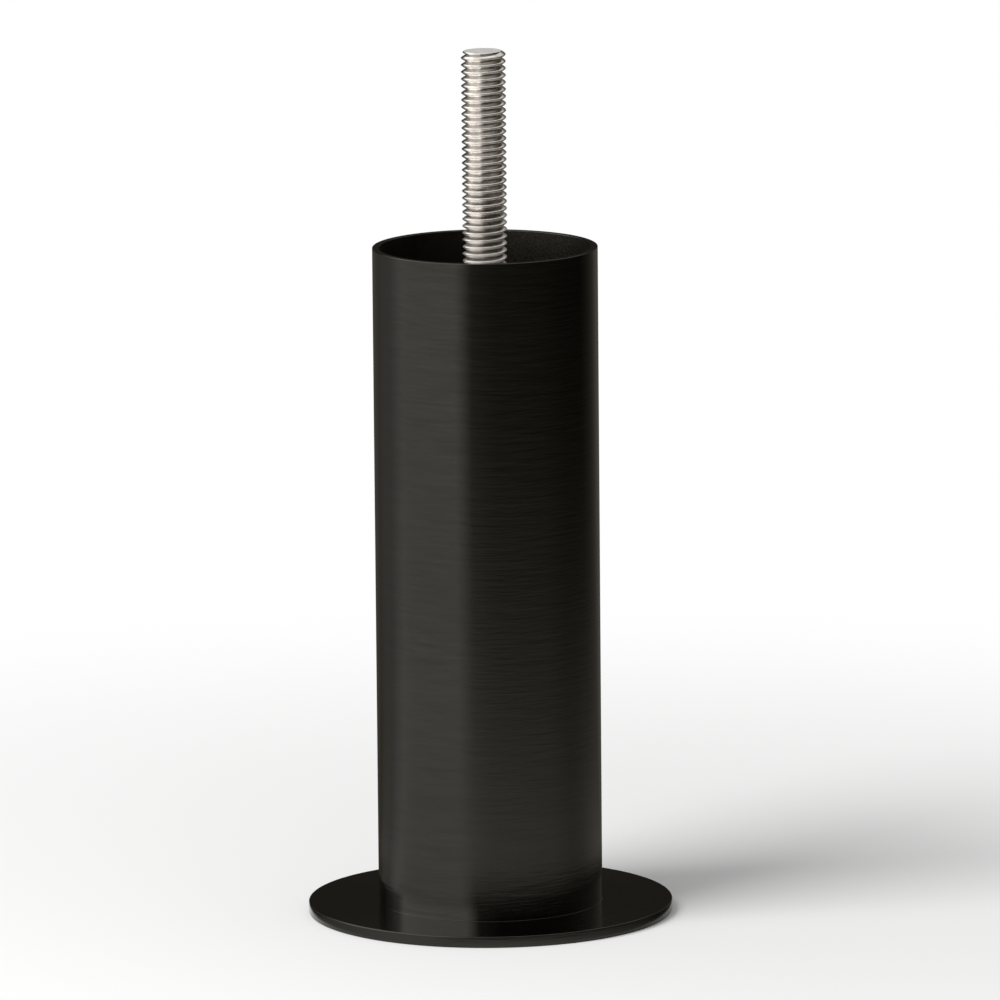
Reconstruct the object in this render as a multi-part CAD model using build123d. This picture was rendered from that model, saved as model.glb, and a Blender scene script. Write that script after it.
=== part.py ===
from build123d import *
import math
import os

# Furniture leg of round steel tube on a flat foot disc, with a threaded stud that screws into the furniture.
# Millimetres. The origin is the centre of the disc's underside, and +Z runs up the tube to the stud.

# The leg as a whole: floor to rim, and rim to the stud's tip
LEG_HEIGHT = 120.0
STUD_REACH = 35.0

# Foot disc, stamped from sheet: its top edge is broken enough to be felt, the lower one is only deburred
DISC_DIAMETER = 65.0
DISC_THICKNESS = 2.0
DISC_EDGE_BREAK = 0.4
DISC_DEBURR = 0.2

# Tube, cut square and deburred at both ends
TUBE_DIAMETER = 40.0
TUBE_WALL = 1.2
TUBE_DEBURR = 0.2

# Plate that closes the tube a little below its rim
PLATE_DEPTH = 9.0
PLATE_THICKNESS = 3.0
PLATE_CLEARANCE = 0.05
PLATE_DEBURR = 0.3

# Weld spots in the corner between the plate and the tube
TACK_RADIUS = 2.4
TACK_COUNT = 4
TACK_FIRST_ANGLE = 45.0

# Stud of coarse metric thread, screwed through the weld nut until its tail stands out below
THREAD_DIAMETER = 8.0
THREAD_PITCH = 1.25
STUD_TAIL = 1.5
STUD_CHAMFER = 0.55
STUD_HOLE_CLEARANCE = 0.5

# Square weld nut under the plate
WELD_NUT_SIDES = 4
WELD_NUT_ACROSS_FLATS = 14.0
WELD_NUT_HEIGHT = 6.5

# Thin hexagon lock nut on the plate
LOCK_NUT_SIDES = 6
LOCK_NUT_ACROSS_FLATS = 13.0
LOCK_NUT_HEIGHT = 4.0

# Form of both nuts: the flat cone that takes their corners off, and the widened mouth of their thread
NUT_CHAMFER_ANGLE = 30.0
NUT_FACE_INSET = 0.3
NUT_MOUTH_CLEARANCE = 0.3
NUT_MOUTH_ANGLE = 45.0

# Metric thread form: how much less than the outer diameter the nut's bore and the stud's core are, in pitches
NUT_BORE_DEPTH = 1.0825
STUD_CORE_DEPTH = 1.2269

# Radii that follow
disc_radius = DISC_DIAMETER / 2
tube_radius = TUBE_DIAMETER / 2
bore_radius = tube_radius - TUBE_WALL
plate_radius = bore_radius - PLATE_CLEARANCE
thread_radius = THREAD_DIAMETER / 2
stud_hole_radius = thread_radius + STUD_HOLE_CLEARANCE
nut_bore_radius = thread_radius - NUT_BORE_DEPTH * THREAD_PITCH / 2
nut_mouth_radius = thread_radius + NUT_MOUTH_CLEARANCE
stud_core_radius = thread_radius - STUD_CORE_DEPTH * THREAD_PITCH / 2

# Heights that follow
tube_length = LEG_HEIGHT - DISC_THICKNESS
plate_top = LEG_HEIGHT - PLATE_DEPTH
plate_bottom = plate_top - PLATE_THICKNESS
weld_nut_bottom = plate_bottom - WELD_NUT_HEIGHT
stud_bottom = weld_nut_bottom - STUD_TAIL
stud_length = LEG_HEIGHT + STUD_REACH - stud_bottom

ON_BASE = (Align.CENTER, Align.CENTER, Align.MIN)


def rod(radius, length, bottom=0.0):
    """Upright cylinder on the leg's axis, from the height of its bottom face."""
    return Pos(0, 0, bottom) * Cylinder(radius, length, align=ON_BASE)


def turned(points):
    """Solid of revolution about Z of a closed outline given as (radius, height) points."""
    outline = Polyline(*[(radius, 0, height) for radius, height in points], close=True)
    return revolve(make_face(outline), Axis.Z)


def end_edges(solid, height):
    """The round edges of a turned piece that lie at one height."""
    return solid.edges().filter_by(GeomType.CIRCLE).filter_by_position(Axis.Z, height, height)


def foot_disc():
    """Flat disc on the floor, its top edge broken and its lower edge deburred."""
    disc = rod(disc_radius, DISC_THICKNESS)
    disc = chamfer(end_edges(disc, DISC_THICKNESS), DISC_EDGE_BREAK)
    return chamfer(end_edges(disc, 0), DISC_DEBURR)


def leg_tube():
    """Open tube that stands on the disc, with all four of its end edges deburred."""
    tube = rod(tube_radius, tube_length, DISC_THICKNESS) - rod(bore_radius, tube_length, DISC_THICKNESS)
    return chamfer(end_edges(tube, DISC_THICKNESS) + end_edges(tube, LEG_HEIGHT), TUBE_DEBURR)


def stud_plate():
    """Round plate in the tube's mouth, with the stud's hole in the middle."""
    plate = rod(plate_radius, PLATE_THICKNESS, plate_bottom)
    plate = chamfer(end_edges(plate, plate_bottom) + end_edges(plate, plate_top), PLATE_DEBURR)
    return plate - rod(stud_hole_radius, PLATE_THICKNESS, plate_bottom)


def tack_welds():
    """Rounded weld spots, each the part of a ball that fits the corner between plate and tube."""
    mouth = rod(bore_radius, PLATE_DEPTH, plate_top)
    ball = Pos(0, 0, plate_top) * Sphere(TACK_RADIUS)
    places = PolarLocations(bore_radius, TACK_COUNT, TACK_FIRST_ANGLE)
    return Compound([(place * ball & mouth).solid() for place in places])


def nut(side_count, across_flats, height, chamfered_below):
    """Nut on Z = 0 with a flat towards +X, its corners cut by a flat cone above and, if asked, below."""
    flat_radius = across_flats / 2
    corner_radius = flat_radius / math.cos(math.pi / side_count)
    face_radius = flat_radius - NUT_FACE_INSET
    corner_drop = (corner_radius - face_radius) * math.tan(math.radians(NUT_CHAMFER_ANGLE))
    lower = [(face_radius, 0), (corner_radius, corner_drop)] if chamfered_below else [(corner_radius, 0)]
    upper = [(corner_radius, height - corner_drop), (face_radius, height)]
    sides = RegularPolygon(flat_radius, side_count, major_radius=False, rotation=180 / side_count)
    blank = extrude(sides, height) & turned([(0, 0), *lower, *upper, (0, height)])

    mouth_depth = (nut_mouth_radius - nut_bore_radius) / math.tan(math.radians(NUT_MOUTH_ANGLE))
    thread_hole = turned(
        [
            (0, 0),
            (nut_mouth_radius, 0),
            (nut_bore_radius, mouth_depth),
            (nut_bore_radius, height - mouth_depth),
            (nut_mouth_radius, height),
            (0, height),
        ]
    )
    return blank - thread_hole


def weld_nut():
    """Square nut under the plate, flat against it, its chamfered face downwards."""
    upright = nut(WELD_NUT_SIDES, WELD_NUT_ACROSS_FLATS, WELD_NUT_HEIGHT, chamfered_below=False)
    return Pos(0, 0, plate_bottom) * Rot(180, 0, 0) * upright


def lock_nut():
    """Thin hexagon nut on the plate, chamfered on both faces."""
    upright = nut(LOCK_NUT_SIDES, LOCK_NUT_ACROSS_FLATS, LOCK_NUT_HEIGHT, chamfered_below=True)
    return Pos(0, 0, plate_top) * upright


def threaded_stud():
    """Stud with chamfered ends, at its outer diameter where it is free and at its core inside each nut.

    Inside a nut the two threads mesh, so the space between core and outer diameter is the nut's there.
    """
    stud = rod(thread_radius, stud_length, stud_bottom)
    stud = chamfer(stud.edges().filter_by(GeomType.CIRCLE), STUD_CHAMFER)
    for nut_bottom, nut_height in ((weld_nut_bottom, WELD_NUT_HEIGHT), (plate_top, LOCK_NUT_HEIGHT)):
        core = rod(stud_core_radius, nut_height, nut_bottom)
        stud -= rod(stud_hole_radius, nut_height, nut_bottom) - core
    return stud


PIECES = [foot_disc, leg_tube, stud_plate, tack_welds, weld_nut, lock_nut, threaded_stud]

os.makedirs("parts", exist_ok=True)
for piece in PIECES:
    export_step(piece(), f"parts/{piece.__name__}.step")
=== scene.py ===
import math

import bpy
import numpy as np
from bpy.props import FloatProperty, FloatVectorProperty, IntProperty, PointerProperty
from mathutils import Matrix, Vector


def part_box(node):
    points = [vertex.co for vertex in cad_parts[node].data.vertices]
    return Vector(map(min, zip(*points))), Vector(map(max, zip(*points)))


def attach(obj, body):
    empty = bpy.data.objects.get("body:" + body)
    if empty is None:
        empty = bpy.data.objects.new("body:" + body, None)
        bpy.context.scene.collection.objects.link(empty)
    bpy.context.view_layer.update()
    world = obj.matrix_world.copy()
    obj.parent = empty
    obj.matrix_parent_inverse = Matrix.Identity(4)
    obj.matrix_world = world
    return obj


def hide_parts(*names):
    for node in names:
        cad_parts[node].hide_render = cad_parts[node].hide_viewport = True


bl_info = {
    "name": "Tube Furniture Leg",
    "version": (1, 0, 0),
    "blender": (4, 5, 0),
    "location": "3D View > Sidebar > Leg",
    "description": "Dresses the CAD frame of a tube furniture leg with its thread, edges and finishes",
    "category": "Object",
}

# The CAD frame, in metres, and the sizes that the pieces take from it
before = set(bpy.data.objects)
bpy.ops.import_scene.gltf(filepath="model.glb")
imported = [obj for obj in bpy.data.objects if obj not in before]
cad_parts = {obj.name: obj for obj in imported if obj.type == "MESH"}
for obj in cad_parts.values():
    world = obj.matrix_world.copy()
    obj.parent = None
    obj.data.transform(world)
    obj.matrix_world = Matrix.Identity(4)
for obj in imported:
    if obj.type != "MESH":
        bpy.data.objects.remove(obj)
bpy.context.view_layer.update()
foot_low, foot_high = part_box("foot_disc")
tube_low, tube_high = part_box("leg_tube")
_, plate_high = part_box("stud_plate")
welds_low, welds_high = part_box("tack_welds")
weld_nut_low, weld_nut_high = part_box("weld_nut")
lock_nut_low, lock_nut_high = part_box("lock_nut")
stud_low, stud_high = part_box("threaded_stud")

# Meshes: points nearer than this become one, faces that meet at a larger angle than this keep a sharp edge,
# and a face is level where the upright part of its normal is larger than this
MERGE_DISTANCE = 1.3e-7
SHARP_ANGLE = math.radians(35.0)
LEVEL_NORMAL = 0.9999

# Narrow strip beside a rounded edge, which keeps the shading of the rounding off the wide face
EDGE_STRIP = 0.00005

# Metric thread: slope of its flanks, and the rounding of its crest and the depth of a nut's thread in pitches
FLANK_ANGLE = math.radians(30.0)
CREST_ROUNDING = 0.125
NUT_THREAD_DEPTH = 0.54125

# Rows of the thread's grid from the middle of a groove to the crest, in turns, closer together where it bends
THREAD_ROWS = (0.0, 0.03, 0.10, 0.20, 0.29, 0.36, 0.41, 0.455)

# Nuts: their sides, the strip beside their edges, how far their corners are blunted, and the rows of a
# chamfer and columns of a side
LOCK_NUT_SIDES = 6
WELD_NUT_SIDES = 4
NUT_EDGE_STRIP = 0.00006
NUT_CORNER_BLUNTING = 0.00009
NUT_CHAMFER_ROWS = 10
NUT_SIDE_COLUMNS = 24

# Weld spots: their number, the first one's place in degrees, and their height and half their length as shares
# of the CAD spot's radius
WELD_COUNT = 4
WELD_FIRST_ANGLE = 45.0
WELD_HEIGHT = 0.93
WELD_HALF_LENGTH = 0.97

# How deep a weld spot sinks into tube and plate, and the steps along and across it
WELD_SINK = 0.00004
WELD_ROWS = 61
WELD_COLUMNS = 17

# Ripples of a weld spot: how many on half of it, how far they bow, their height as a share of the spot's, and
# the shift of their wave for each radian round the leg, which makes every spot different
WELD_RIPPLES = 3.5
WELD_RIPPLE_BOW = 0.5
WELD_RIPPLE_HEIGHT = 0.05
WELD_RIPPLE_SHIFT = 5.0

# Longer lumps of a weld spot: radians of their wave on half of it, their height and their shift, as above
WELD_LUMPS = 3.0
WELD_LUMP_HEIGHT = 0.06
WELD_LUMP_SHIFT = 7.0

# Zinc: scales of the rolling marks across and along the stud, and of the rings on its cut end, per metre
MARKS_ACROSS = 250.0
MARKS_ALONG = 6000.0
CUT_RINGS = 9000.0

# Depth below the stud's tip at which the bare steel of its cut end begins, and at which it is full
CUT_BEGINS = 0.00003
CUT_IS_FULL = 0.00001

# Floor: how far it lies below the foot, its rings, and the radii where white light begins and is full
FLOOR_DROP = 0.00002
FLOOR_RINGS = (0.0, 0.1, 0.5, 30.0)
FLOOR_LIT_RADIUS = 0.05
FLOOR_WHITE_RADIUS = 0.30
FLOOR_COLUMNS = 96

# Light tent round the leg, seen only in its reflections: a card just above the floor, given as points of
# (radius, height), a wall with a rounded foot, and a rounded top
TENT_CARD = ((0.034, 0.00004), (0.1, 0.0002), (0.4, 0.0004), (1.2, 0.0008))
TENT_RADIUS = 1.6
TENT_TOP = 1.8
TENT_FOOT_ROUNDING = 0.3
TENT_TOP_ROUNDING = 0.9
TENT_COLUMNS = 144

# Tones of the tent: a window on the left, dark walls and a pale ceiling. They are stops of (degrees to the
# right of the camera's side, brightness), first for the floor at the foot and for the walls on the right.
# The floor tones are a painted reflection of a floor lit from the left, with its shadow painted dark on the
# right.
TENT_FOOT = (
    (-180, 0.03), (-82, 0.03), (-64, 0.36), (-48, 0.64), (-30, 0.80), (10, 0.70), (40, 0.44), (74, 0.03)
)
TENT_RIGHT_WALL = (
    (-12, 0.30), (10, 0.07), (60, 0.06), (80, 0.10), (94, 0.14), (114, 0.19), (138, 0.17), (162, 0.15),
    (170, 0.03), (180, 0.03)
)

# Layers over the tones at the foot: what each runs along, where it begins, where it is full, and its tones
TENT_LAYERS = (
    # Floor round the foot: painted reflection, with the disc's contact shadow painted dark on the right
    ("radius", 0.0365, 0.0415, (
        (-180, 0.03), (-130, 0.05), (-106, 0.26), (-92, 0.76), (-24, 0.80), (-12, 0.08), (40, 0.04),
        (74, 0.03)
    )),
    # Floor near the leg: painted reflection, lit on the left, with the leg's shadow painted dark on the right
    ("radius", 0.044, 0.070, (
        (-180, 0.05), (-140, 0.07), (-112, 0.36), (-94, 0.87), (-28, 0.87), (0, 0.66), (60, 0.55), (84, 0.40),
        (110, 0.34), (140, 0.12), (180, 0.05)
    )),
    # Floor far from it
    ("far share", 0.22, 0.90, (
        (-180, 0.05), (-140, 0.15), (-114, 0.43), (-94, 0.88), (-31, 0.87), (-15, 0.14), (10, 0.06),
        (60, 0.03), (112, 0.00), (137, 0.09), (152, 0.15), (164, 0.12), (180, 0.05)
    )),
    # Wall with the window
    ("height", 0.04, 0.20, (
        (-180, 0.03), (-140, 0.05), (-124, 0.30), (-110, 1.00), (-100, 3.15), (-25, 3.15), *TENT_RIGHT_WALL
    )),
    # Wall above the window
    ("height", 0.58, 0.84, (
        (-180, 0.03), (-140, 0.05), (-124, 0.40), (-112, 1.10), (-100, 1.25), (-25, 1.20), *TENT_RIGHT_WALL
    )),
    # Slope of the ceiling
    ("height", 0.70, 1.30, (
        (-180, 1.30), (-150, 1.62), (-128, 1.66), (-104, 1.48), (-85, 1.28), (-60, 1.14), (-31, 1.05),
        (0, 0.92), (40, 0.76), (83, 0.59), (115, 0.61), (150, 0.77), (180, 1.30)
    )),
    # Middle of the ceiling
    ("height", 1.74, 1.795, ((-180, 1.25), (-120, 1.10), (-60, 0.95), (115, 0.95), (180, 1.25))),
)

# Brightness that the tones are shares of in the ramps, radius at which the far share is a half, and the warm
# tint of the dark tones with the share of that brightness up to which it shows
TENT_BRIGHTEST = 4.0
TENT_FAR_RADIUS = 0.2
TENT_WARM_TINT = (1.04, 0.96, 0.76, 1.0)
TENT_WARM_SHARE = 0.12

WHITE = (1.0, 1.0, 1.0, 1.0)


class LegSizes(bpy.types.PropertyGroup):
    """Sizes of the details that the CAD frame leaves to the looks."""

    rim_rounding: FloatProperty(
        name="Rim rounding",
        description="Radius of the tube's two edges at its rim",
        default=0.0001,
        unit="LENGTH",
    )
    joint_fillet: FloatProperty(
        name="Joint fillet",
        description="Radius of the hollow line of coat between tube and foot",
        default=0.00006,
        unit="LENGTH",
    )
    foot_rounding: FloatProperty(
        name="Foot rounding",
        description="Radius of the foot disc's upper edge",
        default=0.00016,
        unit="LENGTH",
    )
    foot_deburr: FloatProperty(
        name="Foot deburr",
        description="Radius of the foot disc's lower edge",
        default=0.0002,
        unit="LENGTH",
    )
    plate_clearance: FloatProperty(
        name="Plate clearance",
        description="Gap between the plate in the mouth and the tube's bore",
        default=0.00005,
        unit="LENGTH",
    )
    thread_pitch: FloatProperty(
        name="Thread pitch",
        description="Rise of the stud's thread in one turn",
        default=0.00125,
        unit="LENGTH",
    )
    thread_play: FloatProperty(
        name="Thread play",
        description="How far the stud's crests stay inside the nominal diameter",
        default=0.00003,
        unit="LENGTH",
    )
    stud_chamfer: FloatProperty(
        name="Stud chamfer",
        description="Width of the chamfer at both ends of the stud",
        default=0.00055,
        unit="LENGTH",
    )
    nut_chamfer: FloatProperty(
        name="Nut chamfer",
        description="Slope of the cone that takes off the nuts' corners",
        default=math.radians(30),
        subtype="ANGLE",
        unit="ROTATION",
    )
    nut_face_inset: FloatProperty(
        name="Nut face inset",
        description="How far the round face of a nut stays inside its flats",
        default=0.0003,
        unit="LENGTH",
    )
    nut_mouth_clearance: FloatProperty(
        name="Nut mouth clearance",
        description="How far the widened mouth of a nut's thread clears the stud",
        default=0.0003,
        unit="LENGTH",
    )
    round_columns: IntProperty(
        name="Round columns",
        description="Steps round the tube and the foot disc",
        default=288,
        min=32,
        max=512,
    )
    thread_columns: IntProperty(
        name="Thread columns",
        description="Steps in one turn of the thread",
        default=80,
        min=24,
        max=112,
    )


class LegFinishes(bpy.types.PropertyGroup):
    """Colours and surface values of the leg's three finishes."""

    black_metal: FloatVectorProperty(
        name="Black metal",
        description="Colour of the brushed black metal",
        default=(0.0495, 0.0483, 0.0430),
        size=3,
        min=0.0,
        max=1.0,
        subtype="COLOR",
    )
    black_metal_roughness: FloatProperty(
        name="Black metal roughness",
        description="Mean roughness of the brushed black metal",
        default=0.14,
        min=0.0,
        max=1.0,
        subtype="FACTOR",
    )
    brush_line: FloatProperty(
        name="Brush line",
        description="Width of the finest brush lines",
        default=0.00016,
        unit="LENGTH",
    )
    black_coat: FloatVectorProperty(
        name="Black coat",
        description="Colour of the plain black coat in the tube's mouth",
        default=(0.0030, 0.0024, 0.0019),
        size=3,
        min=0.0,
        max=1.0,
        subtype="COLOR",
    )
    black_coat_sheen: FloatVectorProperty(
        name="Black coat sheen",
        description="Colour of the plain black coat's sheen",
        default=(1.0, 0.93, 0.74),
        size=3,
        min=0.0,
        max=1.0,
        subtype="COLOR",
    )
    black_coat_roughness: FloatProperty(
        name="Black coat roughness",
        description="Mean roughness of the plain black coat",
        default=0.45,
        min=0.0,
        max=1.0,
        subtype="FACTOR",
    )
    zinc: FloatVectorProperty(
        name="Zinc",
        description="Colour of the bright zinc plate",
        default=(0.84, 0.802, 0.762),
        size=3,
        min=0.0,
        max=1.0,
        subtype="COLOR",
    )
    zinc_roughness: FloatProperty(
        name="Zinc roughness",
        description="Mean roughness of the bright zinc plate",
        default=0.18,
        min=0.0,
        max=1.0,
        subtype="FACTOR",
    )
    zinc_dull_reach: FloatProperty(
        name="Zinc dull reach",
        description="How far above the tube's mouth the zinc is still dulled by the heat of the welds",
        default=0.016,
        unit="LENGTH",
    )
    cut_steel: FloatVectorProperty(
        name="Cut steel",
        description="Colour of the bare steel at the stud's cut end",
        default=(0.77, 0.765, 0.75),
        size=3,
        min=0.0,
        max=1.0,
        subtype="COLOR",
    )


class LegStage(bpy.types.PropertyGroup):
    """Floor, light and camera."""

    floor_colour: FloatVectorProperty(
        name="Floor colour",
        description="Colour of the pale floor",
        default=(0.90, 0.90, 0.895),
        size=3,
        min=0.0,
        max=1.0,
        subtype="COLOR",
    )
    lamp_power: FloatProperty(
        name="Lamp power",
        description="Power of the soft lamp on the left",
        default=9.5,
        unit="POWER",
    )
    lamp_size: FloatProperty(
        name="Lamp size",
        description="Width and height of the soft lamp",
        default=0.6,
        unit="LENGTH",
    )
    lamp_place: FloatVectorProperty(
        name="Lamp place",
        description="Where the soft lamp hangs",
        default=(-0.62, -0.42, 0.72),
        size=3,
        subtype="TRANSLATION",
        unit="LENGTH",
    )
    lamp_aim: FloatVectorProperty(
        name="Lamp aim",
        description="Point that the soft lamp looks at",
        default=(0.0, 0.0, 0.05),
        size=3,
        subtype="TRANSLATION",
        unit="LENGTH",
    )
    fill_strength: FloatProperty(
        name="Fill strength",
        description="Brightness of the even light from all round",
        default=0.45,
    )
    camera_place: FloatVectorProperty(
        name="Camera place",
        description="Where the camera stands",
        default=(0.0, -1.990, 0.4333),
        size=3,
        subtype="TRANSLATION",
        unit="LENGTH",
    )
    camera_tilt: FloatProperty(
        name="Camera tilt",
        description="How far the camera looks down",
        default=math.radians(10.225),
        subtype="ANGLE",
        unit="ROTATION",
    )
    camera_turn: FloatProperty(
        name="Camera turn",
        description="How far the camera looks to the right",
        default=math.radians(0.066),
        subtype="ANGLE",
        unit="ROTATION",
    )
    camera_roll: FloatProperty(
        name="Camera roll",
        description="How far the camera leans",
        default=math.radians(-0.494),
        subtype="ANGLE",
        unit="ROTATION",
    )
    camera_lens: FloatProperty(
        name="Camera lens",
        description="Focal length on a sensor 36 mm wide",
        default=409.3,
        unit="CAMERA",
    )


# Shapes: surfaces on a grid of rows and columns


def arc(centre, radius, start, end, count):
    """Points of an arc: centre plus radius times (cos a, sin a), with a in equal steps from start to end."""
    angle = np.radians(np.linspace(start, end, count))
    return np.asarray(centre) + radius * np.stack([np.cos(angle), np.sin(angle)], axis=1)


def turned(outline, columns):
    """Outline of (radius, height) points carried round Z: (r cos a, r sin a, h), with a in equal steps."""
    angle = np.linspace(0.0, 2.0 * np.pi, columns, endpoint=False)[None, :]
    radius = outline[:, 0][:, None]
    height = outline[:, 1][:, None] + 0.0 * angle
    return np.stack([radius * np.cos(angle), radius * np.sin(angle), height], axis=2)


def thread_form(turns, outer_radius, pitch):
    """Radius of a rolled metric thread at a place along its axis, given in turns with the crest at one half.

    With d the distance from the middle of the crest and c the crest's rounding, the crest is rounded off and
    the flanks run at 60 degrees to each other: r = outer - (sqrt(d d + c c) - c) / tan 30.
    """
    distance = (np.mod(turns, 1.0) - 0.5) * pitch
    rounding = pitch * CREST_ROUNDING
    drop = (np.sqrt(distance**2 + rounding**2) - rounding) / math.tan(FLANK_ANGLE)
    return outer_radius - drop


def thread(outer_radius, pitch, low, high, chamfer, columns):
    """Right-hand thread with a chamfer cone at both ends, and the number of rows in one of its turns.

    Point (row, column) lies at angle a and at height z = low + pitch (t + a / 2 pi), where t is the row's
    place in turns, and z is held between the two ends. Its radius is the smallest of the thread's form at
    z / pitch - a / 2 pi and of the two cones. The first and last row close the ends at the axis.
    """
    form = np.array(THREAD_ROWS)
    form = np.concatenate([form, [0.5], 1.0 - form[:0:-1]])
    turn_count = math.ceil((high - low) / pitch) + 3
    places = (np.arange(turn_count)[:, None] + form[None, :]).ravel() - 1.0
    places = np.concatenate([[-1.5], places, [turn_count]])[:, None]

    climb = np.linspace(0.0, 1.0, columns, endpoint=False)[None, :]
    height = np.clip(low + pitch * (places + climb), low, high)
    radius = thread_form((height - low) / pitch - climb, outer_radius, pitch)
    end_radius = outer_radius - chamfer
    radius = np.minimum(radius, end_radius + (height - low))
    radius = np.minimum(radius, end_radius + (high - height))
    radius[0] = 0.0
    radius[-1] = 0.0
    angle = 2.0 * np.pi * climb
    return np.stack([radius * np.cos(angle), radius * np.sin(angle), height], axis=2), len(form)


def nut(sides, flat_radius, low, high, sizes, chamfered_above):
    """Nut with a flat towards +X: outer radius = the smaller of polygon and chamfer cone, carried round Z.

    The polygon's radius is the flats' radius over cos b, where b is the angle from the middle of the nearest
    flat. A cone has the face's radius at the face, and grows with the distance from it over tan slope. There
    is one below and, if asked, one above.
    """
    face_radius = flat_radius - sizes.nut_face_inset
    corner_radius = flat_radius / math.cos(math.pi / sides)
    bore_radius = stud_high.x - NUT_THREAD_DEPTH * sizes.thread_pitch
    mouth_radius = stud_high.x + sizes.nut_mouth_clearance
    mouth_depth = mouth_radius - bore_radius
    slope = math.tan(sizes.nut_chamfer)
    drop = (corner_radius - face_radius) * slope
    strip = NUT_EDGE_STRIP

    # Outline of the ring: the outer side upwards, the top inwards, the bore downwards and the bottom outwards
    rise = np.linspace(0.0, drop, NUT_CHAMFER_ROWS)
    side = np.concatenate([low + rise, [low + drop + strip, high - drop - strip], high - rise[::-1]])
    top = [[face_radius - strip, high], [mouth_radius + strip, high]]
    bore = [
        [mouth_radius, high],
        [bore_radius, high - mouth_depth],
        [bore_radius, low + mouth_depth],
        [mouth_radius, low],
    ]
    bottom = [[mouth_radius + strip, low], [face_radius - strip, low]]
    outline = np.concatenate([np.stack([side * 0.0, side], axis=1), top, bore, bottom])

    columns = sides * NUT_SIDE_COLUMNS
    angle = np.linspace(0.0, 2.0 * np.pi, columns, endpoint=False)
    from_flat = np.mod(angle + np.pi / sides, 2.0 * np.pi / sides) - np.pi / sides
    polygon = np.minimum(flat_radius / np.cos(from_flat), corner_radius - NUT_CORNER_BLUNTING)
    cone = face_radius + (side - low) / slope
    if chamfered_above:
        cone = np.minimum(cone, face_radius + (high - side) / slope)
    radius = np.repeat(outline[:, :1], columns, axis=1)
    radius[: len(side)] = np.minimum(polygon[None, :], cone[:, None])
    height = np.repeat(outline[:, 1:], columns, axis=1)
    return np.stack([radius * np.cos(angle), radius * np.sin(angle), height], axis=2)


def weld_spots(bore_radius, floor_height, size):
    """Weld spots in the corner between a bore and a floor: (spot, row, column) points.

    Along a spot, u runs from -1 to 1 and turns it about Z. Across it, v runs from the wall to the floor on a
    quarter circle of radius size sqrt(1 - u u), which carries ripples like fish scales, a cosine of u less a
    bow of sin 2 v, and longer lumps, a sine of u. It runs back through the corner, sunk into wall and floor.
    """
    along = np.sin(np.linspace(-np.pi / 2, np.pi / 2, WELD_ROWS))[None, :, None]
    across = np.linspace(0.0, np.pi / 2, WELD_COLUMNS)[None, None, :]
    middle = np.radians(WELD_FIRST_ANGLE + np.arange(WELD_COUNT) * 360.0 / WELD_COUNT)[:, None, None]
    bow = np.sin(2.0 * across)
    waves = WELD_RIPPLES * along - WELD_RIPPLE_BOW * bow
    ripples = np.cos(2.0 * np.pi * waves + WELD_RIPPLE_SHIFT * middle)
    lumps = np.sin(WELD_LUMPS * along + WELD_LUMP_SHIFT * middle)
    relief = 1.0 + WELD_RIPPLE_HEIGHT * ripples * bow + WELD_LUMP_HEIGHT * lumps
    taper = np.sqrt(np.clip(1.0 - along**2, 0.0, 1.0))
    radius = WELD_HEIGHT * size * taper * relief
    sunk = WELD_SINK * taper
    corner = 0.0 * middle - sunk
    inwards = np.concatenate([radius * np.sin(across), corner], axis=2)
    upwards = np.concatenate([radius * np.cos(across), corner], axis=2)
    inwards[:, :, :1] -= sunk
    upwards[:, :, -2:-1] -= sunk
    angle = middle + 0.0 * inwards + along * WELD_HALF_LENGTH * size / bore_radius
    reach = bore_radius - inwards
    return np.stack([reach * np.cos(angle), reach * np.sin(angle), floor_height + upwards], axis=3)


def grid_quads(rows, columns, closed_rows=False, shift=0):
    """Corner numbers of the quads of a grid whose columns run round; the seam climbs by shift rows."""
    row, column = np.meshgrid(np.arange(rows), np.arange(columns), indexing="ij")
    climb = np.where(column == columns - 1, shift, 0)
    after = (column + 1) % columns
    corners = [(row, column), (row + climb, after), (row + climb + 1, after), (row + 1, column)]
    quads = np.stack([np.mod(r, rows) * columns + c for r, c in corners], axis=2)
    kept = np.ones_like(row, dtype=bool) if closed_rows else row + climb + 1 < rows
    return quads[kept]


def merged(points, quads, tags):
    """Points that lie together become one, quads with two such corners triangles, and thinner ones go."""
    keys = np.round(points / MERGE_DISTANCE).astype(np.int64)
    _, first, number = np.unique(keys, axis=0, return_index=True, return_inverse=True)
    quads = number.reshape(-1)[quads]
    repeated = quads == np.roll(quads, -1, axis=1)
    count = repeated.sum(axis=1)
    three = quads[count == 1][~repeated[count == 1]].reshape(-1, 3)
    return points[first], quads[count == 0], three, np.concatenate([tags[count == 0], tags[count == 1]])


def enclosed_volume(points, triangles):
    """Volume inside a closed mesh, positive where its faces point outwards: the sum of a . (b x c) / 6."""
    a, b, c = (points[triangles[:, corner]] for corner in range(3))
    return np.einsum("ij,ij->", a, np.cross(b, c)) / 6.0


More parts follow.
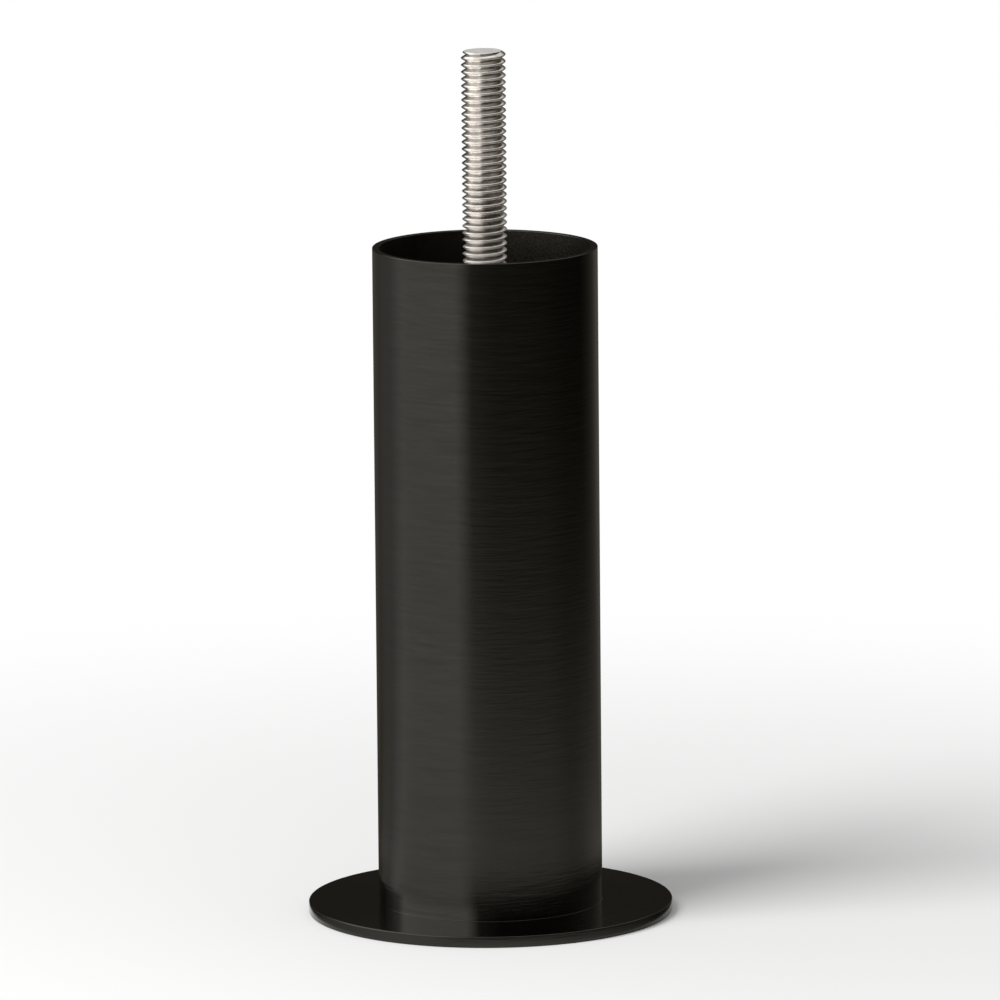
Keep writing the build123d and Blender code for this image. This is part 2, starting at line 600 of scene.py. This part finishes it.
def surface(name, points, quads, finishes, tags=None, closed=True):
    """Mesh object at the origin, made of a grid's points and quads; tags gives each quad's finish."""
    points = points.reshape(-1, 3)
    tags = np.zeros(len(quads), np.int32) if tags is None else tags
    points, four, three, tags = merged(points, quads, tags)
    triangles = np.concatenate([four[:, [0, 1, 2]], four[:, [0, 2, 3]], three])
    if closed and enclosed_volume(points, triangles) < 0.0:
        four = four[:, ::-1]
        three = three[:, ::-1]
    mesh = bpy.data.meshes.new(name)
    mesh.from_pydata(points.tolist(), [], four.tolist() + three.tolist())
    mesh.polygons.foreach_set("material_index", tags.astype(np.int32))
    for finish in finishes:
        mesh.materials.append(finish)
    mesh.update()

    # Level faces are flat, and are marked after the sharp edges because that call makes every face smooth
    mesh.set_sharp_from_angle(angle=SHARP_ANGLE)
    normals = np.empty(3 * len(tags), np.float32)
    mesh.polygons.foreach_get("normal", normals)
    level = np.abs(normals[2::3]) > LEVEL_NORMAL
    mesh.polygons.foreach_set("use_smooth", ~level)
    made = bpy.data.objects.new(name, mesh)
    bpy.context.scene.collection.objects.link(made)
    return made


def seat(piece, node):
    """The piece rides on the leg's one body and stands for its CAD node, which it hides."""
    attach(piece, "root")
    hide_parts(node)


# Finishes: shader maths in Python


class Signal:
    """Output of a shader node that arithmetic works on: each operation adds one Math node."""

    def __init__(self, board, socket):
        self.board = board
        self.socket = socket

    def combined(self, operation, first, second):
        """Adds the Math node of one operation."""
        return self.board.node("ShaderNodeMath", {"operation": operation}, {0: first, 1: second})

    def __add__(self, other):
        return self.combined("ADD", self, other)

    def __radd__(self, other):
        return self.combined("ADD", other, self)

    def __sub__(self, other):
        return self.combined("SUBTRACT", self, other)

    def __rsub__(self, other):
        return self.combined("SUBTRACT", other, self)

    def __mul__(self, other):
        return self.combined("MULTIPLY", self, other)

    def __rmul__(self, other):
        return self.combined("MULTIPLY", other, self)

    def __truediv__(self, other):
        return self.combined("DIVIDE", self, other)

    def __rtruediv__(self, other):
        return self.combined("DIVIDE", other, self)


class Board:
    """Node tree of a finish or of the world, filled node by node."""

    def __init__(self, tree):
        self.tree = tree
        tree.nodes.clear()

    def node(self, kind, settings=None, inputs=None, output=0):
        """Adds one node: its settings first, then its sockets' values or links, and gives one output."""
        made = self.tree.nodes.new(kind)
        for name, value in (settings or {}).items():
            if name == "stops":
                self.set_stops(made.color_ramp, value)
            else:
                setattr(made, name, value)
        for key, value in (inputs or {}).items():
            if isinstance(value, Signal):
                self.tree.links.new(value.socket, made.inputs[key])
            else:
                made.inputs[key].default_value = value
        return Signal(self, made.outputs[output]) if len(made.outputs) else made

    def set_stops(self, ramp, stops):
        """Gives a colour ramp its (position, grey tone) stops."""
        while len(ramp.elements) < len(stops):
            ramp.elements.new(1.0)
        for element, (position, tone) in zip(ramp.elements, stops):
            element.position = position
            element.color = (tone, tone, tone, 1.0)

    def object_place(self):
        """Object coordinates and their three parts."""
        place = self.node("ShaderNodeTexCoord", output="Object")
        parts = [self.node("ShaderNodeSeparateXYZ", {}, {0: place}, axis) for axis in "XYZ"]
        return place, *parts

    def vector(self, x, y, z):
        """Vector of three values."""
        return self.node("ShaderNodeCombineXYZ", {}, {0: x, 1: y, 2: z})

    def from_axis(self, x, y):
        """Distance from the leg's axis."""
        flat = self.vector(x, y, 0.0)
        return self.node("ShaderNodeVectorMath", {"operation": "LENGTH"}, {0: flat}, "Value")

    def noise(self, place, scale=1.0, detail=2.0, roughness=0.5):
        """Noise between 0 and 1 at a place."""
        inputs = {"Vector": place, "Scale": scale, "Detail": detail, "Roughness": roughness}
        return self.node("ShaderNodeTexNoise", {}, inputs)

    def step(self, value, low, high):
        """0 below low, 1 above high, and a smooth rise between them."""
        inputs = {"Value": value, "From Min": low, "From Max": high}
        return self.node("ShaderNodeMapRange", {"interpolation_type": "SMOOTHSTEP"}, inputs)

    def blend(self, share, first, second):
        """Colour between two colours."""
        return self.node("ShaderNodeMix", {"data_type": "RGBA"}, {0: share, 6: first, 7: second}, 2)

    def tinted(self, colour, tint):
        """Colour times a second colour."""
        settings = {"data_type": "RGBA", "blend_type": "MULTIPLY"}
        return self.node("ShaderNodeMix", settings, {0: 1.0, 6: colour, 7: tint}, 2)

    def mottled(self, share, colour, darkest, lightest):
        """Colour that changes with a share from its darkest to its lightest shade, both factors on it."""
        shades = [(*[part * factor for part in colour], 1.0) for factor in (darkest, lightest)]
        return self.blend(share, *shades)

    def bump(self, height, strength, distance):
        """Normal of a surface with this height on it."""
        inputs = {"Strength": strength, "Distance": distance, "Height": height}
        return self.node("ShaderNodeBump", {}, inputs)

    def principled(self, inputs):
        """Ends the tree of a finish in one shader with these values."""
        shader = self.node("ShaderNodeBsdfPrincipled", {}, inputs)
        self.node("ShaderNodeOutputMaterial", {}, {"Surface": shader})


def new_finish(name):
    """Empty node material and the board that fills it."""
    finish = bpy.data.materials.new(name)
    finish.use_nodes = True
    return finish, Board(finish.node_tree)


def swing(noise, width):
    """Noise between 0 and 1 turned into a swing about 0 of this whole width."""
    return (noise - 0.5) * width


def brushed_black():
    """Black metal with brush lines that run round the leg, on the tube's wall and in rings on the disc.

    The lines are noise in (radius + height, direction from the axis), so they follow every turned face. Lines
    of three widths lie over each other, and the wider ones break up into fewer streaks on their way round.
    """
    values = bpy.context.scene.leg_finishes
    finish, board = new_finish("brushed_black_metal")
    place, x, y, z = board.object_place()
    radius = board.from_axis(x, y)
    across = (radius + z) / values.brush_line

    def brush_lines(closeness, streaks, roughness):
        """Lines as close as this share of the finest ones, with so many streaks."""
        line = board.vector(across * closeness, x / radius * streaks, y / radius * streaks)
        return board.noise(line, detail=3.0, roughness=roughness)

    fine = brush_lines(closeness=1.0, streaks=6.0, roughness=0.65)
    middle = brush_lines(closeness=0.28, streaks=2.8, roughness=0.6)
    broad = brush_lines(closeness=0.10, streaks=1.3, roughness=0.6)
    cloud = board.noise(place, scale=46.0)

    # Shares of the three widths in the depth of the grooves and in the look of the lines
    grooves = middle * 0.6 + broad * 0.7
    lines = fine * 0.25 + middle * 0.45 + broad * 0.3
    tone = board.step(lines * 0.8 + cloud * 0.2, low=0.28, high=0.72)
    board.principled(
        {
            "Base Color": board.mottled(tone, values.black_metal, darkest=0.87, lightest=1.13),
            "Metallic": 1.0,
            "Roughness": values.black_metal_roughness + swing(lines, 0.12) + swing(cloud, 0.04),
            "Anisotropic": 0.8,
            "Anisotropic Rotation": 0.25,
            "Normal": board.bump(grooves, strength=0.6, distance=0.00006),
        }
    )
    return finish


def black_coat():
    """Plain black coat, grainy and not brushed: fine grain and wider clouds in colour, sheen and surface."""
    values = bpy.context.scene.leg_finishes
    finish, board = new_finish("plain_black_coat")
    place, _, _, _ = board.object_place()
    grain = board.noise(place, scale=1900.0, detail=3.0, roughness=0.6)
    cloud = board.noise(place, scale=190.0, detail=3.0, roughness=0.55)
    tone = board.step(cloud * 0.6 + grain * 0.4, low=0.3, high=0.7)
    board.principled(
        {
            "Base Color": board.mottled(tone, values.black_coat, darkest=0.75, lightest=1.35),
            "Roughness": values.black_coat_roughness + swing(grain, 0.3) + swing(cloud, 0.2),
            "Specular IOR Level": 0.3,
            "Specular Tint": (*values.black_coat_sheen, 1.0),
            "Normal": board.bump(grain * 0.7 + cloud * 0.3, strength=0.8, distance=0.0001),
        }
    )
    return finish


def bright_zinc():
    """Bright zinc plate: shiny, with faint cloudy patches and fine marks of the rolling along the thread.

    The marks are noise that is stretched across the stud. The heat of the welds has left the zinc duller near
    the tube's mouth. The cut end of the stud is bare steel with fine rings, which are noise in the radius.
    """
    values = bpy.context.scene.leg_finishes
    finish, board = new_finish("bright_zinc_plate")
    place, x, y, z = board.object_place()
    patches = board.noise(place, scale=420.0, detail=3.0, roughness=0.6)
    marks = board.noise(board.vector(x * MARKS_ACROSS, y * MARKS_ACROSS, z * MARKS_ALONG))
    rings = board.noise(board.vector(board.from_axis(x, y) * CUT_RINGS, 0.0, 0.0))
    cut = board.step(z, stud_high.z - CUT_BEGINS, stud_high.z - CUT_IS_FULL)
    dull = 1.0 - board.step(z, tube_high.z, tube_high.z + values.zinc_dull_reach)
    plated = board.mottled(board.step(patches, low=0.3, high=0.75), values.zinc, darkest=0.80, lightest=1.04)
    bare = board.mottled(board.step(rings, low=0.3, high=0.7), values.cut_steel, darkest=0.90, lightest=1.10)
    variation = swing(patches, 0.16) + swing(marks, 0.1)
    board.principled(
        {
            "Base Color": board.blend(cut, plated, bare),
            "Metallic": 1.0,
            "Roughness": values.zinc_roughness + variation + cut * 0.3 + dull * 0.15,
            "Normal": board.bump(marks * 0.8 + patches * 0.2, strength=0.5, distance=0.00003),
        }
    )
    return finish


def finish_named(name, maker):
    """A finish that several pieces share, made when it is first needed."""
    return bpy.data.materials.get(name) or maker()


# Operators: one for each piece or group of like pieces, and one for the stage


class LEG_OT_foot(bpy.types.Operator):
    """Build the foot disc with its rounded edges"""

    bl_idname = "leg.foot"
    bl_label = "Foot Disc"

    def execute(self, context):
        sizes = context.scene.leg_sizes
        radius = foot_high.x
        low = foot_low.z
        high = foot_high.z
        edge = sizes.foot_rounding
        deburr = sizes.foot_deburr
        strip = EDGE_STRIP
        outline = np.concatenate(
            [
                [[0.0, low], [radius - deburr - strip, low]],
                arc((radius - deburr, low + deburr), deburr, -90, 0, count=5),
                [[radius, low + deburr + strip], [radius, high - edge - strip]],
                arc((radius - edge, high - edge), edge, 0, 90, count=9),
                [[radius - edge - strip, high], [tube_high.x, high], [0.0, high]],
            ]
        )
        columns = sizes.round_columns
        finish = finish_named("brushed_black_metal", brushed_black)
        piece = surface("foot", turned(outline, columns), grid_quads(len(outline), columns), [finish])
        seat(piece, "foot_disc")
        return {"FINISHED"}


class LEG_OT_tube(bpy.types.Operator):
    """Build the tube with its rounded rim and the fine hollow line where it meets the foot"""

    bl_idname = "leg.tube"
    bl_label = "Tube"

    def execute(self, context):
        sizes = context.scene.leg_sizes
        outer = tube_high.x
        bore = plate_high.x + sizes.plate_clearance
        low = tube_low.z
        high = tube_high.z
        edge = sizes.rim_rounding
        fillet = sizes.joint_fillet
        strip = EDGE_STRIP
        outside = np.concatenate(
            [
                arc((outer + fillet, low + fillet), fillet, 270, 180, count=7),
                [[outer, low + fillet + strip], [outer, high - edge - strip]],
                arc((outer - edge, high - edge), edge, 0, 90, count=7),
                [[outer - edge - strip, high], [bore + edge + strip, high]],
                arc((bore + edge, high - edge), edge, 90, 180, count=7),
            ]
        )
        inside = [[bore, high - edge - strip], [bore, low + strip], [bore, low]]
        outline = np.concatenate([outside, inside])
        columns = sizes.round_columns

        # The first finish is on the outside and the rim, the second in the bore
        tags = np.repeat(np.arange(len(outline)) >= len(outside), columns).astype(np.int32)
        finishes = [
            finish_named("brushed_black_metal", brushed_black),
            finish_named("plain_black_coat", black_coat),
        ]
        quads = grid_quads(len(outline), columns, closed_rows=True)
        piece = surface("tube", turned(outline, columns), quads, finishes, tags)
        seat(piece, "leg_tube")
        return {"FINISHED"}


class LEG_OT_stud(bpy.types.Operator):
    """Build the stud with its helical thread"""

    bl_idname = "leg.stud"
    bl_label = "Threaded Stud"

    def execute(self, context):
        sizes = context.scene.leg_sizes
        points, turn_rows = thread(
            stud_high.x - sizes.thread_play,
            sizes.thread_pitch,
            stud_low.z,
            stud_high.z,
            sizes.stud_chamfer,
            sizes.thread_columns,
        )
        quads = grid_quads(len(points), sizes.thread_columns, shift=turn_rows)
        piece = surface("stud", points, quads, [finish_named("bright_zinc_plate", bright_zinc)])
        seat(piece, "threaded_stud")
        return {"FINISHED"}


class LEG_OT_nuts(bpy.types.Operator):
    """Build the lock nut on the plate and the weld nut under it"""

    bl_idname = "leg.nuts"
    bl_label = "Nuts"

    def execute(self, context):
        sizes = context.scene.leg_sizes
        zinc = finish_named("bright_zinc_plate", bright_zinc)
        coat = finish_named("plain_black_coat", black_coat)
        low, high = lock_nut_low.z, lock_nut_high.z
        points = nut(LOCK_NUT_SIDES, lock_nut_high.x, low, high, sizes, chamfered_above=True)
        quads = grid_quads(*points.shape[:2], closed_rows=True)
        piece = surface("lock_nut_on_plate", points, quads, [zinc])
        seat(piece, "lock_nut")
        low, high = weld_nut_low.z, weld_nut_high.z
        points = nut(WELD_NUT_SIDES, weld_nut_high.x, low, high, sizes, chamfered_above=False)
        quads = grid_quads(*points.shape[:2], closed_rows=True)
        piece = surface("weld_nut_under_plate", points, quads, [coat])
        seat(piece, "weld_nut")
        return {"FINISHED"}


class LEG_OT_mouth(bpy.types.Operator):
    """Finish the plate in the mouth and build its four weld spots"""

    bl_idname = "leg.mouth"
    bl_label = "Plate and Welds"

    def execute(self, context):
        sizes = context.scene.leg_sizes
        coat = finish_named("plain_black_coat", black_coat)
        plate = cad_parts["stud_plate"].data
        plate.materials.clear()
        plate.materials.append(coat)
        bore = plate_high.x + sizes.plate_clearance
        spots = weld_spots(bore, plate_high.z, welds_high.z - welds_low.z)
        count, rows, columns, _ = spots.shape
        first_points = np.arange(count)[:, None, None] * rows * columns
        quads = (grid_quads(rows, columns)[None] + first_points).reshape(-1, 4)
        piece = surface("weld_spots", spots, quads, [coat])
        seat(piece, "tack_welds")
        return {"FINISHED"}


class LEG_OT_stage(bpy.types.Operator):
    """Set the floor, the light and the camera"""

    bl_idname = "leg.stage"
    bl_label = "Stage"

    def execute(self, context):
        self.floor(context)
        self.tent()
        self.light(context)
        self.camera(context)
        context.scene.view_settings.view_transform = "Standard"
        return {"FINISHED"}

    def shown_rays(self, board):
        """1 for rays that show the background: straight, mirrored or through glass."""
        kinds = ("Is Camera Ray", "Is Glossy Ray", "Is Transmission Ray")
        camera, glossy, through = (board.node("ShaderNodeLightPath", output=kind) for kind in kinds)
        return camera + glossy + through

    def floor(self, context):
        """Pale floor, lit near the leg so that it keeps the shadow, and white further away."""
        finish, board = new_finish("pale_floor")
        _, x, y, _ = board.object_place()
        radius = board.from_axis(x, y)
        pale = (*context.scene.leg_stage.floor_colour, 1.0)
        lit = board.node("ShaderNodeBsdfDiffuse", {}, {"Color": pale})
        white = board.node("ShaderNodeEmission", {}, {"Color": WHITE, "Strength": 1.0})
        share = board.step(radius, FLOOR_LIT_RADIUS, FLOOR_WHITE_RADIUS) * self.shown_rays(board)
        mixed = board.node("ShaderNodeMixShader", {}, {0: share, 1: lit, 2: white})
        board.node("ShaderNodeOutputMaterial", {}, {"Surface": mixed})
        outline = np.array([[ring, -FLOOR_DROP] for ring in FLOOR_RINGS])
        quads = grid_quads(len(outline), FLOOR_COLUMNS)
        surface("floor", turned(outline, FLOOR_COLUMNS), quads, [finish], closed=False)

    def tent(self):
        """Light tent that only reflections show: a floor card that rises into a wall and closes above. The
        card's tones are a painted reflection of the floor, lit on the left and with its shadow painted dark
        on the right.

        Its layers run along the radius r, along the far share r / (r + far radius) or along the height.
        """
        finish, board = new_finish("tent_tones")
        _, x, y, z = board.object_place()
        radius = board.from_axis(x, y)
        places = {"radius": radius, "far share": radius / (radius + TENT_FAR_RADIUS), "height": z}
        azimuth = board.node("ShaderNodeMath", {"operation": "ARCTAN2"}, {0: x, 1: 0.0 - y})
        turn = azimuth / (2.0 * math.pi) + 0.5
        tone = self.tones_round(board, turn, TENT_FOOT)
        for along, begins, full, tones in TENT_LAYERS:
            layer = self.tones_round(board, turn, tones)
            tone = board.blend(board.step(places[along], begins, full), tone, layer)
        warmth = board.blend(board.step(tone, 0.0, TENT_WARM_SHARE), TENT_WARM_TINT, WHITE)
        colour = board.tinted(tone, warmth)
        light = board.node("ShaderNodeEmission", {}, {"Color": colour, "Strength": TENT_BRIGHTEST})
        board.node("ShaderNodeOutputMaterial", {}, {"Surface": light})
        finish.cycles.emission_sampling = "NONE"

        foot = TENT_FOOT_ROUNDING
        top = TENT_TOP_ROUNDING
        outline = np.concatenate(
            [
                TENT_CARD,
                arc((TENT_RADIUS - foot, foot), foot, -90, 0, count=9),
                arc((TENT_RADIUS - top, TENT_TOP - top), top, 0, 90, count=13),
                [[0.0, TENT_TOP]],
            ]
        )
        quads = grid_quads(len(outline), TENT_COLUMNS)
        tent = surface("light_tent", turned(outline, TENT_COLUMNS), quads, [finish], closed=False)
        tent.visible_camera = False
        tent.visible_diffuse = False
        tent.visible_shadow = False

    def tones_round(self, board, turn, tones):
        """Ramp of (degrees, tone) stops over one turn round the leg, as shares of the brightest tone."""
        stops = [(degrees / 360.0 + 0.5, tone / TENT_BRIGHTEST) for degrees, tone in tones]
        return board.node("ShaderNodeValToRGB", {"stops": stops}, {0: turn})

    def light(self, context):
        """Soft lamp on the left of the camera, and a white world that also gives the even light."""
        stage = context.scene.leg_stage
        lamp = bpy.data.lights.new("soft_lamp", "AREA")
        lamp.energy = stage.lamp_power
        lamp.shape = "SQUARE"
        lamp.size = stage.lamp_size
        holder = bpy.data.objects.new("soft_lamp", lamp)
        holder.location = stage.lamp_place
        aim = Vector(stage.lamp_aim) - holder.location
        holder.rotation_euler = aim.to_track_quat("-Z", "Y").to_euler()
        holder.visible_camera = False
        holder.visible_glossy = False
        context.scene.collection.objects.link(holder)

        world = bpy.data.worlds.new("white_room")
        world.use_nodes = True
        board = Board(world.node_tree)
        white = board.node("ShaderNodeBackground", {}, {"Color": WHITE, "Strength": 1.0})
        fill = board.node("ShaderNodeBackground", {}, {"Color": WHITE, "Strength": stage.fill_strength})
        mixed = board.node("ShaderNodeMixShader", {}, {0: self.shown_rays(board), 1: fill, 2: white})
        board.node("ShaderNodeOutputWorld", {}, {"Surface": mixed})
        context.scene.world = world

    def camera(self, context):
        """Camera at the photograph's place: turned about Z, tilted about X and leaned about its own axis."""
        stage = context.scene.leg_stage
        lens = bpy.data.cameras.new("camera")
        lens.sensor_width = 36.0
        lens.lens = stage.camera_lens
        lens.clip_start = 0.05
        lens.clip_end = 100.0
        holder = bpy.data.objects.new("camera", lens)
        turn = Matrix.Rotation(-stage.camera_turn, 4, "Z")
        tilt = Matrix.Rotation(math.pi / 2 - stage.camera_tilt, 4, "X")
        roll = Matrix.Rotation(stage.camera_roll, 4, "Z")
        holder.matrix_world = Matrix.Translation(stage.camera_place) @ turn @ tilt @ roll
        context.scene.collection.objects.link(holder)
        context.scene.camera = holder


class LEG_PT_panel(bpy.types.Panel):
    """Steps that build the leg"""

    bl_idname = "LEG_PT_panel"
    bl_label = "Furniture Leg"
    bl_space_type = "VIEW_3D"
    bl_region_type = "UI"
    bl_category = "Leg"

    def draw(self, context):
        column = self.layout.column()
        for step in STEPS:
            column.operator(step.bl_idname)
        for group in (context.scene.leg_sizes, context.scene.leg_finishes, context.scene.leg_stage):
            box = self.layout.box()
            for name in group.__annotations__:
                box.prop(group, name)


GROUPS = {"leg_sizes": LegSizes, "leg_finishes": LegFinishes, "leg_stage": LegStage}
STEPS = (LEG_OT_foot, LEG_OT_tube, LEG_OT_stud, LEG_OT_nuts, LEG_OT_mouth, LEG_OT_stage)


def register():
    for group in GROUPS.values():
        bpy.utils.register_class(group)
    for step in STEPS:
        bpy.utils.register_class(step)
    bpy.utils.register_class(LEG_PT_panel)
    for name, group in GROUPS.items():
        setattr(bpy.types.Scene, name, PointerProperty(type=group))


def unregister():
    for name in GROUPS:
        delattr(bpy.types.Scene, name)
    bpy.utils.unregister_class(LEG_PT_panel)
    for step in reversed(STEPS):
        bpy.utils.unregister_class(step)
    for group in GROUPS.values():
        bpy.utils.unregister_class(group)


def main():
    register()
    bpy.ops.leg.foot()
    bpy.ops.leg.tube()
    bpy.ops.leg.stud()
    bpy.ops.leg.nuts()
    bpy.ops.leg.mouth()
    bpy.ops.leg.stage()


if __name__ == "__main__":
    main()
